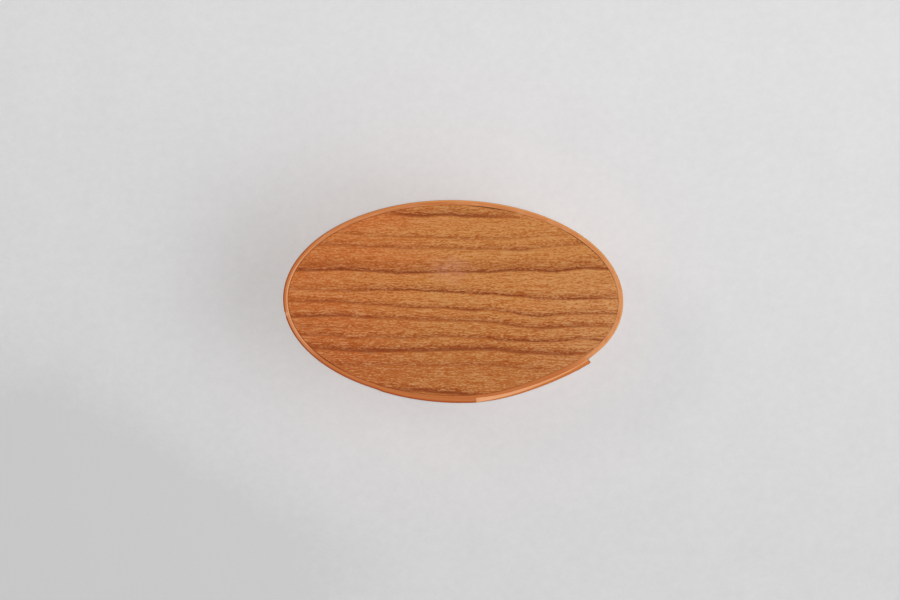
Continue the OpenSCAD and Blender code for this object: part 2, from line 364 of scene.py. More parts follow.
def band_body(parts, inset, z0, z1, seed):
    """The strip from the base of its fingers once round and under itself to its feathered end."""
    end = perimeter + LAP_LEN + INNER_END
    q = np.arange(FINGER_LEN, end, STRIP_STEP)
    near = [NICK_Q + NICK_STEP * i for i in range(-10, 11)]
    bounds = [perimeter - 1e-6, perimeter, LAP_LEN, perimeter + LAP_LEN, end]
    q = np.unique(np.concatenate([q, near, bounds]))
    face, t = strip_face(inset, q), strip_t(q)
    eased = RIM_SAG * waver(q, seed, 90 * MM)
    nick = np.exp(-((q - NICK_Q) / NICK_HALF) ** 2) * (inset == LID_INSET)
    corners = np.stack([
        np.stack([face, np.full_like(q, z0)], -1),
        np.stack([face, z1 - eased], -1),
        np.stack([face + t - NICK_OUT * nick, z1 - eased - NICK_DOWN * nick], -1),
        np.stack([face + t, np.full_like(q, z0)], -1)], 1)
    outer = np.minimum(ARRIS * (0.75 + 0.6 * waver(q, seed + 3, 60 * MM)), 0.6 * t)
    inner = np.minimum(INNER_ARRIS * (0.7 + 0.6 * waver(q, seed + 5, 40 * MM)), 0.35 * t)
    inner *= 1 - 0.6 * at_right(q)
    outer = np.where(q > perimeter, PRESSED_ARRIS, outer)
    inner = np.where(q < LAP_LEN, PRESSED_ARRIS, inner)
    radii = np.stack([inner, inner, outer, outer], 1)
    # Per side, from its first corner: cut, edge, edge on the corner, rim
    marks = np.array([[0, 0, 0.1, 0], [0, 0.0, 0.1, 1], [0, 0, 1.0, 0], [0, 0.0, 1.0, 1]])
    ring, named = rounded_ring(corners, radii, marks, BAND_ROUNDING)
    named["depth"] = (ring[..., 0] - face[:, None]) / t[:, None]
    named["edge"] = named["edge"] * (q[:, None] < perimeter)
    # Fresh wood shows in the nick
    named["cut"] = 0.9 * nick[:, None] * (named["depth"] > 0.45) * (ring[..., 1] > z1 - 1 * MM)
    parts.skin(np.broadcast_to(q[:, None], ring.shape[:2]), ring[..., 0], ring[..., 1], named)


def band_finger(parts, inset, zc, w):
    """One finger, from a root inside the band to its rounded tip."""
    x = np.concatenate([[-ROOT_LEN, -0.02 * MM], np.linspace(0, 1, 40) ** 2 * ARCH_LEN,
                        np.linspace(ARCH_LEN, FINGER_LEN - TIP_ROUND, 30)[1:],
                        FINGER_LEN - TIP_ROUND * np.linspace(1, 0, 16)[1:] ** 1.5])
    at = np.maximum(x, 0)
    root = np.where(x < -0.5 * ROOT_LEN, ROOT_INSET, 0)
    half = finger_half(at, w / 2 - 0.5 * ARRIS) - root
    k = (at / FINGER_LEN) ** 0.8
    q = FINGER_LEN - x
    thick = strip_t(np.minimum(q, FINGER_LEN))
    land = np.minimum(thick - MIN_BEVEL,
                      BAND_T - MIN_BEVEL - k * (BAND_T - MIN_BEVEL - TIP_LAND))
    bevel = MIN_BEVEL + k * (TIP_BEVEL - MIN_BEVEL)
    end = np.clip(1 - (FINGER_LEN - at) / TIP_END, 0, 1)
    outer = thick - 0.75 * TIP_END * (1 - np.sqrt(1 - np.minimum(end, 1) ** 2)) - root
    land = np.minimum(land, outer - 0.05 * MM)
    face = strip_face(inset, q) + root
    outer = outer - root
    rows = [(face, -half), (face, half), (face + land, half), (face + outer, half - bevel),
            (face + outer, bevel - half), (face + land, -half)]
    corners = np.stack([np.stack([o, zc + dz], -1) for o, dz in rows], 1)
    radii = np.tile(np.array([0.03, 0.03, 0.1, 0.25, 0.25, 0.1]) * MM, (len(q), 1))
    marks = np.array([[0, 0, 0, 0], [1, 0, 0, 0], [0, 0.6, 0, 0], [0, 0, 0.4, 0], [0, 0.6, 0.4, 0],
                      [1, 0, 0, 0]])
    ring, named = rounded_ring(corners, radii, marks, FINGER_ROUNDING)
    named["depth"] = (ring[..., 0] - face[:, None]) / thick[:, None]
    parts.skin(np.broadcast_to(q[:, None], ring.shape[:2]), ring[..., 0], ring[..., 1], named,
               flip=True)


def make_band(name, inset, low, high, fingers, zone, material, seed):
    """A strip with its fingers, which share the height zone evenly."""
    parts = Parts()
    band_body(parts, inset, low, high, seed)
    pitch = zone / fingers
    for i in range(fingers):
        band_finger(parts, inset, low + pitch * (i + 0.5), pitch)
    made = parts.piece(name, material)
    steady_normals(made)
    return made


# ---------------------------------------------------------------- boards
# Where a board has shrunk away from its band: (turn in degrees, half its reach, depth)
OPENINGS = [(48, 12, 0.11 * MM), (22, 10, 0.05 * MM), (193, 14, 0.17 * MM), (238, 32, 0.16 * MM)]
TIGHT = 0.02 * MM            # gap round the board where it hasn't shrunk away
BOARD_EASE = 0.06 * MM       # rounding of a board's edges
BOARD_POINTS = 720           # points round a board
BOARD_LOOPS = (0.97, 0.85, 0.6, 0.3)  # sizes of the loops inside its rim, as shares of it
GAP_SHADE_LINE = (0.08 * MM, 0.3 * MM)  # painted shade of the gap along its edge: full, and gone


def make_board(name, inset, low, high, material, seed):
    """An oval board with eased edges, a hair smaller than its band so that a fine gap shows."""
    n = BOARD_POINTS
    u = np.linspace(0, 2 * math.pi, n, endpoint=False)
    q = strip_at(np.where(u > math.pi, u, u + 2 * math.pi))
    fit = np.full_like(u, TIGHT)
    for middle, half, deep in OPENINGS:
        away = (np.degrees(u) - middle + 180) % 360 - 180
        fit += deep * np.cos(math.pi / 2 * np.clip(away / half, -1, 1)) ** 2 * (
            0.7 + 0.6 * waver(q, seed, 30 * MM))
    edge = inner_face(inset, q) - fit
    ease = BOARD_EASE * (1 - 0.6 * at_right(q))
    profile = [(ease, low), (ease * 0.3, low + ease * 0.3), (0, low + ease),
               (0, high - ease), (ease * 0.3, high - ease * 0.3), (ease, high)]
    profile = [(GAP_SHADE_LINE[1], low), (GAP_SHADE_LINE[0], low)] + profile
    profile += [(GAP_SHADE_LINE[0], high), (GAP_SHADE_LINE[1], high)]
    rims = [oval_point(u) + (edge - d)[:, None] * oval_normal(u) for d, z in profile]
    heights = [np.broadcast_to(z, n) for d, z in profile]
    lower = [(rims[0] * s, heights[0]) for s in reversed(BOARD_LOOPS)]
    upper = [(rims[-1] * s, heights[-1]) for s in BOARD_LOOPS]
    loops = lower + list(zip(rims, heights)) + upper
    bare = len(BOARD_LOOPS) + 1
    line = [0] * bare + [1] * (len(loops) - 2 * bare) + [0] * bare
    verts = [(p[0], p[1], z) for loop, rise in loops for p, z in zip(loop, rise)]
    faces = tube_faces(len(loops), n, closed=False)
    close_ends(verts, faces, len(loops), n, low, high)
    made = new_object(name, verts, [f[::-1] for f in faces], material)
    add_attribute(made, "rim", [v for v in line for k in range(n)] + [0, 0])
    steady_normals(made)
    return made


# ---------------------------------------------------------------- tacks and pegs
def face_frame(inset, q, z):
    """Origin and axes on the strip's outer face: along the strip, upward and outward."""
    u = float(turn_at(q))
    normal = oval_normal(np.array(u))
    out = float(strip_face(inset, q) + strip_t(q))
    flat = oval_point(np.array(u)) + out * normal
    outward = Vector((normal[0], normal[1], 0))
    along = Vector((-normal[1], normal[0], 0))
    return Vector((flat[0], flat[1], z)), along, Vector((0, 0, 1)), outward


def lathe(profile, count, wobble):
    """A turned skin from a profile of (radius, height), closed at both ends. wobble(angle, row)
    is what a point's radius and height gain."""
    angles = np.linspace(0, 2 * math.pi, count, endpoint=False)
    verts = []
    for i, (r, h) in enumerate(profile):
        for a in angles:
            dr, dh = wobble(a, i)
            verts.append(((r + dr) * math.cos(a), (r + dr) * math.sin(a), h + dh))
    faces = tube_faces(len(profile), count, closed=False)
    close_ends(verts, faces, len(profile), count, profile[0][1], profile[-1][1])
    return verts, faces


def tack_shape(depth, sunk, seed):
    """A hammered head, a shank through the wood and a point bent over along the band."""
    dents = (0, 0, 1, 1, 0.7, 0.4, 0.2)   # how much the hammer shows on each row of the head

    def hammered(a, i):
        flat = 0.035 * MM * math.sin(3 * a + seed) + 0.025 * MM * math.sin(5 * a + 2.1 * seed)
        return flat * dents[i], -abs(flat) * dents[i] * 0.6

    # Radius, and height as a share of the head's height
    profile = [(SHANK_R, -0.3), (SHANK_R, 0.05), (0.95 * HEAD_R, 0.05), (0.97 * HEAD_R, 0.35),
               (0.88 * HEAD_R, 0.62), (0.6 * HEAD_R, 0.86), (0.25 * HEAD_R, 0.95)]
    head = [(r, h * HEAD_H - HEAD_SINK) for r, h in profile]
    verts, faces = lathe(head, HEAD_POINTS, hammered)
    bend = sunk - depth
    above = bend + 0.3 * MM
    path = [(0, 0, -HEAD_SINK), (0, 0, above)]
    path += [(0, CLINCH_TURN * (1 - math.cos(a)), above - (CLINCH_TURN - 0.15 * MM) * math.sin(a))
             for a in np.linspace(0.3, math.pi / 2, 5)]
    path += [(0, 0.8 * CLINCH_LEN, bend), (0, CLINCH_LEN, bend)]
    radii = [SHANK_R, SHANK_R] + [LEG_R] * 5 + [0.6 * LEG_R, 0.3 * LEG_R]
    ring = SHANK_POINTS
    start = len(verts)
    for i, (p, r) in enumerate(zip(path, radii)):
        ahead = Vector(path[min(i + 1, len(path) - 1)]) - Vector(path[max(i - 1, 0)])
        ahead.normalize()
        side = Vector((1, 0, 0))
        up = ahead.cross(side)
        for k in range(ring):
            a = 2 * math.pi * k / ring
            verts.append(tuple(Vector(p) + side * r * math.cos(a) + up * r * math.sin(a)))
    faces += tube_faces(len(path), ring, start)
    return verts, faces


def peg_shape(seed):
    """A peg whose sawn and sanded end stands a hair out of the band."""
    def oval(a, i):
        return 0.03 * MM * math.sin(2 * a + seed), 0

    profile = [(0.6 * PEG_R, -PEG_LEN), (0.9 * PEG_R, 0.2 * MM - PEG_LEN),
               (0.97 * PEG_R, -0.15 * MM), (0.95 * PEG_R, PEG_PROUD - 0.03 * MM),
               (0.85 * PEG_R, PEG_PROUD), (0.4 * PEG_R, PEG_PROUD + 0.01 * MM)]
    return lathe(profile, PEG_POINTS, oval)


def put_row(name, material, spots, shape):
    """One piece made of a shape at each spot, its grain measured in the shape's own axes."""
    verts, faces, local, rim = [], [], [], []
    for i, (origin, along, up, outward) in enumerate(spots):
        own, own_faces = shape(i)
        start = len(verts)
        verts += [tuple(origin + along * x + up * y + outward * z) for x, y, z in own]
        local += [(x + 7 * MM * i, y, z) for x, y, z in own]
        rim += [min(1, max(0, (math.hypot(x, y) / PEG_R - 0.75) / 0.2)) for x, y, z in own]
        faces += [tuple(start + k for k in f) for f in own_faces]
    made = new_object(name, verts, faces, material, 35)
    local = np.array(local)
    add_attribute(made, "grain", local)
    add_attribute(made, "rim", rim)
    return made


def tack_row(name, material, inset, q, low, fingers, zone, sunk, seed):
    """One tack for each finger, at the strip place q."""
    pitch = zone / fingers
    depth = float(lift(np.asarray(q)) + strip_t(q))
    spots = [face_frame(inset, q, low + pitch * (i + 0.5)) for i in range(fingers)]
    # The point is bent over along the band, towards the fingertips
    spots = [(o, up, along, outward) for o, along, up, outward in spots]
    return put_row(name, material, spots, lambda i: tack_shape(depth, sunk, seed + i))


def peg_row(name, material, inset, z, seed):
    """Pegs at the height z, evenly along the strip from its fingers' base round to their tips."""
    q0, q1 = FINGER_LEN + PEG_MARGIN, perimeter - PEG_MARGIN
    places = [q0 + (q1 - q0) * i / (PEG_COUNT - 1) for i in range(PEG_COUNT)]
    spots = [face_frame(inset, q, z) for q in places]
    return put_row(name, material, spots, lambda i: peg_shape(seed + 1.3 * i))


# ---------------------------------------------------------------- materials
def srgb(r, g, b):
    """A colour as 0 to 255 screen values, turned into light."""
    def one(c):
        c /= 255
        return c / 12.92 if c <= 0.04045 else ((c + 0.055) / 1.055) ** 2.4
    return (one(r), one(g), one(b), 1.0)


class Shader:
    """A material whose nodes are added by short calls."""

    def __init__(self, name):
        self.material = bpy.data.materials.new(name)
        self.material.use_nodes = True
        self.tree = self.material.node_tree
        self.surface = self.tree.nodes["Principled BSDF"]

    def put(self, socket, value):
        if isinstance(value, bpy.types.NodeSocket):
            self.tree.links.new(value, socket)
        else:
            socket.default_value = value

    def node(self, kind, inputs, **settings):
        made = self.tree.nodes.new("ShaderNode" + kind)
        for key, value in settings.items():
            setattr(made, key, value)
        for key, value in inputs.items():
            self.put(made.inputs[key], value)
        return made

    def math(self, operation, a, b=0.0):
        return self.node("Math", {0: a, 1: b}, operation=operation).outputs[0]

    def add(self, a, b):
        return self.math("ADD", a, b)

    def times(self, a, b):
        return self.math("MULTIPLY", a, b)

    def add_vectors(self, a, b):
        return self.node("VectorMath", {0: a, 1: b}, operation="ADD").outputs[0]

    def scaled(self, vector, scale):
        return self.node("VectorMath", {0: vector, 1: scale}, operation="MULTIPLY").outputs[0]

    def noise(self, vector, scale, detail=2.0, roughness=0.5):
        """Noise between 0 and 1, at so many waves a metre along each axis."""
        made = self.node("TexNoise", {"Vector": self.scaled(vector, scale), "Scale": 1.0,
                                      "Detail": detail, "Roughness": roughness})
        return made.outputs["Fac"]

    def distance(self, a, b):
        return self.node("VectorMath", {0: a, 1: b}, operation="DISTANCE").outputs["Value"]

    def spread(self, value, low, high, to_low=0.0, to_high=1.0, smoothly=False):
        """Takes low to high over to to_low to to_high, held beyond both."""
        made = self.node("MapRange", {"Value": value, "From Min": low, "From Max": high,
                                      "To Min": to_low, "To Max": to_high})
        made.interpolation_type = "SMOOTHSTEP" if smoothly else "LINEAR"
        return made.outputs["Result"]

    def ramp(self, value, stops):
        made = self.node("ValToRGB", {"Fac": value})
        points = made.color_ramp.elements
        while len(points) < len(stops):
            points.new(0.5)
        for point, (at, colour) in zip(points, stops):
            point.position = at
        for point, (at, colour) in zip(made.color_ramp.elements, stops):
            point.color = colour if isinstance(colour, tuple) else (colour, colour, colour, 1)
        return made.outputs["Color"]

    def curve(self, value, points):
        """A smooth curve through points (in, out), all between 0 and 1."""
        points = [(0.0, points[0][1])] + points + [(1.0, points[-1][1])]
        made = self.node("FloatCurve", {"Value": value})
        line = made.mapping.curves[0]
        while len(line.points) < len(points):
            line.points.new(0.5, 0.5)
        for point, (at, height) in zip(line.points, points):
            point.location = (at, height)
        made.mapping.update()
        return made.outputs[0]

    def mix(self, share, a, b, blend="MIX"):
        made = self.node("Mix", {"Factor": share, "A": a, "B": b}, data_type="RGBA",
                         blend_type=blend)
        return made.outputs["Result"]

    def attribute(self, name, output="Vector"):
        return self.node("Attribute", {}, attribute_name=name).outputs[output]

    def axes(self, vector):
        return self.node("SeparateXYZ", {"Vector": vector}).outputs

    def vector(self, x, y, z):
        return self.node("CombineXYZ", {"X": x, "Y": y, "Z": z}).outputs[0]

    def bump(self, height, distance, strength=1.0):
        made = self.node("Bump", {"Height": height, "Distance": distance, "Strength": strength})
        self.put(self.surface.inputs["Normal"], made.outputs[0])


# Colours of the wood
GOLD = srgb(205, 135, 67)
REDDISH = srgb(205, 114, 48)
LIGHT = srgb(218, 162, 108)
DEEP = srgb(168, 80, 14)
DIM = (0.79, 0.64, 0.5, 1)            # what the near side of the board keeps of its colour
# Painted reflection of the lamp above, a pale cloud on the boards
PAINTED_GLARE = srgb(214, 150, 118)
GLARE_SHAPE = (1, 1.5, 0)              # the painted reflection is flatter than it is wide
GLARE_AT = (-1.4 * MM, 15.2 * MM, 0)   # its middle, once scaled by that shape
WOOD_GLOSS = 0.12                     # specular level of the oiled wood
LATE = srgb(144, 62, 14)
DARKEST = srgb(108, 44, 8)
# The rim's sun colours are painted light, its shade colour painted shade
RIM = srgb(198, 116, 62)
RIM_PALE = srgb(224, 150, 98)
RIM_SUN = srgb(226, 158, 104)
RIM_SHADE = srgb(192, 106, 48)
EDGE = srgb(198, 90, 24)
# A worn outer edge in painted shade
EDGE_WORN_SHADED = srgb(156, 62, 14)
EDGE_SUN = srgb(234, 158, 88)
# Pale cut wood, on the fingers' cut faces partly painted light
CUT = srgb(244, 184, 134)

# Growth rings of the lid's board, seen from above: half the width of the dark line and how far
# its soft side reaches, in mm, then the places (x in mm, y in mm, strength) that it runs through
LID_RINGS = [
    (0.6, 3.6, [(-30, 29.6, 0.1), (-20, 28.9, 0.7), (-10, 28.4, 0.9), (-4, 28.9, 0.9),
                (5, 28.5, 0.9), (19, 28.4, 0.6), (28, 28.0, 0.1)]),
    (0.2, 1.5, [(-39, 22.1, 0.3), (-26, 21.3, 0.5), (-6, 21.0, 0.6), (14, 20.8, 0.55),
                (24, 21.5, 0.45), (36, 22.3, 0.2)]),
    (0.28, 2.2, [(-46, 18.1, 0.65), (-33, 18.0, 0.6), (-19, 17.5, 0.7), (-3, 17.6, 0.62),
                 (14, 17.3, 0.65), (22, 17.4, 0.8), (30, 18.2, 0.55), (43, 19.3, 0.6)]),
    (0.45, 4.6, [(-53, 9.6, 0.9), (-37, 10.0, 1.0), (-26, 9.6, 0.9), (-12, 9.2, 1.0),
                 (-3, 9.8, 0.8), (10, 9.9, 0.95), (24, 10.6, 0.95), (36, 10.4, 1.0),
                 (43, 11.5, 1.0), (51, 11.3, 0.85)]),
    (0.25, 2.6, [(-55, 3.3, 0.45), (-36, 2.8, 0.7), (-18, 3.4, 1.0), (-3, 2.9, 1.0),
                 (16, 2.1, 1.0), (31, 1.1, 0.85), (39, 1.1, 1.0), (55, 1.4, 0.85)]),
    (0.3, 1.9, [(-54, -0.9, 0.55), (-44, -0.8, 0.8), (-27, -1.6, 0.7), (-14, -2.4, 0.85),
                (-3, -2.4, 0.8), (6, -3.2, 0.9), (12, -2.9, 0.85), (29, -4.7, 1.0),
                (36, -4.2, 0.8), (54, -3.6, 0.8)]),
    (0.5, 2.0, [(-54, -5.8, 0.85), (-37, -5.4, 0.85), (-27, -5.9, 0.75), (-3, -6.5, 0.7),
                (12, -6.9, 0.75), (21, -8.0, 0.8), (31, -8.6, 0.85), (41, -7.9, 0.8),
                (53, -7.9, 0.5)]),
    (0.25, 1.4, [(-50, -9.2, 0.4), (-38, -9.4, 0.35), (-20, -9.6, 0.15), (0, -9.8, 0.1),
                 (40, -10.5, 0.05)]),
    (0.25, 1.8, [(-46, -12.1, 0.7), (-39, -12.2, 0.8), (-34, -13.1, 0.7), (-27, -12.4, 0.7),
                 (-18, -12.7, 0.75), (-1, -12.0, 0.75), (19, -13.0, 0.95), (37, -13.0, 1.0),
                 (43, -12.2, 0.8), (50, -12.7, 0.95)]),
    (0.7, 2.2, [(-47, -16.2, 0.8), (-31, -16.9, 0.9), (-10, -16.6, 0.9), (11, -16.0, 0.9),
                (26, -16.9, 0.85), (40, -17.2, 0.8), (45, -17.0, 0.6)]),
    (0.25, 2.2, [(-39, -22.1, 0.5), (-19, -21.8, 0.5), (0, -21.8, 0.55), (11, -21.5, 0.6),
                 (26, -22.5, 0.6), (33, -22.9, 0.3)]),
    (0.6, 2.0, [(-30, -28.4, 0.1), (-22, -29.2, 0.5), (-17, -29.9, 0.7), (-7, -30.3, 0.95),
                (6, -31.3, 0.9), (14, -32.0, 0.3)])]
BOTTOM_RINGS = [
    (0.4, 3.2, [(-50, 24.5, 0.6), (0, 25.8, 0.9), (50, 23.0, 0.5)]),
    (0.5, 4.4, [(-50, 16.4, 0.9), (-10, 18.3, 1.0), (50, 15.2, 0.9)]),
    (0.25, 1.8, [(-50, 11.0, 0.5), (0, 12.4, 0.4), (50, 9.6, 0.6)]),
    (0.35, 3.0, [(-50, 4.6, 0.8), (8, 5.8, 0.9), (50, 3.9, 0.7)]),
    (0.45, 3.8, [(-50, -2.9, 0.9), (-5, -1.9, 0.9), (50, -1.6, 1.0)]),
    (0.25, 2.2, [(-50, -8.8, 0.5), (12, -8.1, 0.6), (50, -7.2, 0.6)]),
    (0.4, 3.2, [(-50, -13.2, 0.9), (0, -14.4, 0.8), (50, -12.6, 0.9)]),
    (0.25, 2.4, [(-50, -19.0, 0.5), (0, -21.2, 0.7), (50, -18.6, 0.6)]),
    (0.5, 3.4, [(-50, -26.0, 0.8), (0, -27.6, 0.9), (50, -25.2, 0.8)])]
SPAN = 60 * MM               # half the length and width over which rings are drawn


def on_span(mm):
    """A place in mm as a share of the span, as curves need it."""
    return (mm * MM / SPAN + 1) / 2


def ring_darkness(s, x, y, rings):
    """Dark grows slowly towards each ring from above, and ends sharply in a line. Returns the
    darkness of the soft sides and that of the lines."""
    along = s.spread(x, -SPAN, SPAN)
    soft, core = 0.0, 0.0
    for half, reach, places in rings:
        run = s.curve(along, [(on_span(px), on_span(py)) for px, py, _ in places])
        power = s.curve(along, [(on_span(px), strength) for px, _, strength in places])
        above = s.math("SUBTRACT", y, s.spread(run, 0, 1, -SPAN, SPAN))
        below = (half + 0.15) * MM
        depth = below + reach * MM
        where = s.spread(above, -below, reach * MM)

        def shape(stops):
            placed = [((at * MM + below) / depth, v) for at, v in stops]
            return s.times(s.ramp(where, placed), power)

        core = s.math("MAXIMUM", core, shape([(-half - 0.15, 0.0), (-half, 1.0), (0.5 * half, 1.0),
                                              (half + 0.2, 0.0)]))
        soft = s.math("MAXIMUM", soft, shape([(-half - 0.15, 0.0), (-half, 0.9), (half + 0.3, 0.55),
                                              (reach * 0.55, 0.31), (reach, 0.0)]))
    return soft, core


def fibres(s, grain):
    """Short flecks along the grain, a little wavy, gathered in thin streaks."""
    wave = s.times(s.add(s.noise(grain, (210, 260, 260), 1.0), -0.5), 1.3 * MM)
    bent = s.add_vectors(grain, s.vector(0.0, wave, wave))
    streaks = s.noise(bent, (200, 2500, 2500), 2.0, 0.5)
    flecks = s.noise(bent, (1000, 3300, 3300), 1.0, 0.5)
    return s.add(s.times(streaks, 0.5), s.times(flecks, 0.5))


def finish_wood(s, colour, height, depth=0.05):
    """The colour, a satin sheen and a fine relief, depth mm deep."""
    s.put(s.surface.inputs["Base Color"], colour)
    s.surface.inputs["Specular IOR Level"].default_value = WOOD_GLOSS
    s.put(s.surface.inputs["Roughness"], s.spread(height, 0.2, 0.8, 0.62, 0.52))
    s.bump(height, depth * MM, 0.25)
    return s.material


def board_wood(name, rings):
    """Flat-sawn cherry, with its rings at given places and its grain along X, painted light and
    shade on it, and a painted reflection of the lamp above.
    """
    s = Shader(name)
    grain = s.node("TexCoord", {}).outputs["Object"]
    x, y, _ = s.axes(grain)
    fibre = fibres(s, grain)
    ripple = s.times(s.add(s.noise(grain, (150, 90, 90), 2.0), -0.5), 0.7 * MM)
    ragged = s.times(s.add(fibre, -0.5), 2.8 * MM)
    soft, core = ring_darkness(s, x, s.add(y, s.add(ripple, ragged)), rings)
    patchy = s.spread(s.noise(grain, (110, 420, 420), 2.0), 0.3, 0.7, 0.82, 1.1)
    crisp = s.spread(fibre, 0.35, 0.65)
    broad = soft
    soft = s.times(s.times(soft, patchy), s.spread(crisp, 0.0, 1.0, 1.25, 0.75))
    dark = s.math("MAXIMUM", soft, s.times(core, s.spread(crisp, 0.0, 1.0, 1.04, 0.86)))
    warm = s.noise(grain, (22, 60, 60), 2.0)
    # Painted shade and light: redder and darker towards the left end, away from the light, and more
    # golden towards the lit right
    side = s.add(s.spread(x, -46 * MM, 5 * MM, 0.28, -0.22),
                 s.spread(x, 22 * MM, 42 * MM, 0.0, -0.13))
    colour = s.mix(s.spread(s.add(warm, side), 0.3, 0.7), GOLD, REDDISH)
    colour = s.mix(s.spread(x, -50 * MM, -24 * MM, 0.1, 0.0), colour, DEEP)
    colour = s.mix(s.spread(y, -24 * MM, 2 * MM, 1.0, 0.0), colour, DIM, "MULTIPLY")
    # Painted light on the right of the board, fading out past the middle towards the far side
    sunny = s.times(s.spread(x, 20 * MM, 44 * MM, 0.0, 0.3),
                    s.spread(y, 2 * MM, 14 * MM, 1.0, 0.0))
    colour = s.mix(sunny, colour, LIGHT)
    # The flecks show most on the near side and beside the rings
    marked = s.times(s.spread(y, -24 * MM, 14 * MM, 1.1, 0.88),
                     s.spread(broad, 0.0, 0.6, 0.85, 1.2))
    colour = s.mix(s.times(marked, s.spread(crisp, 0.0, 0.65, 1.0, 0.0)), colour, DEEP)
    colour = s.mix(s.times(marked, s.spread(crisp, 0.45, 1.0, 0.0, 0.66)), colour, LIGHT)
    # A painted reflection of the lamp above: a faint pale cloud above the middle
    glare = s.noise(grain, (300, 500, 500), 2.0)
    far = s.distance(s.scaled(grain, GLARE_SHAPE), GLARE_AT)
    glare = s.times(s.spread(far, 0, 10 * MM, 1, 0, True), s.spread(glare, 0.4, 0.65, 0.2, 0.65))
    colour = s.mix(glare, colour, PAINTED_GLARE)
    colour = s.mix(s.times(dark, 0.88), colour, LATE)
    colour = s.mix(s.spread(dark, 0.7, 1.05, 0, 0.5), colour, DARKEST)
    # Painted shade of the gap along the board's edge, most at its near left side
    corner = s.add(s.spread(x, -55 * MM, 10 * MM, 0.2, 0.0),
                   s.spread(y, -33 * MM, 5 * MM, 0.2, 0.0))
    uneven_shade = s.spread(s.noise(grain, (130, 130, 130), 1.0), 0.35, 0.65, 0.15, 0.4)
    uneven_shade = s.times(uneven_shade, s.spread(s.add(x, y), 5 * MM, 35 * MM, 1.0, 0.0))
    colour = s.mix(s.times(s.attribute("rim", "Fac"), s.add(corner, uneven_shade)), colour, LATE)
    return finish_wood(s, colour, s.add(fibre, s.times(dark, -0.3)))


def at_degrees(*turns):
    """Places along the strip at turns given in degrees, clockwise from the middle of the front."""
    return tuple(float(strip_at(math.radians(turn))) for turn in turns)


# Stretches of the rim along the strip
LEFT_Q = at_degrees(50, 138)             # the left end
STREAK_Q = at_degrees(52, 90)            # the pale streak there
SUN_Q = at_degrees(190, 245, 300, 318)   # the sunny right side: begins, is full, fades, has ended
HIGHLIGHT_Q = at_degrees(112, 180)          # where the painted highlight on its outer edge sets in and is full
SHADE_Q = at_degrees(48, 98)             # where the shade of the near side ends
STRIP_RINGS = 4.6 * MM                   # distance between the strips' growth rings


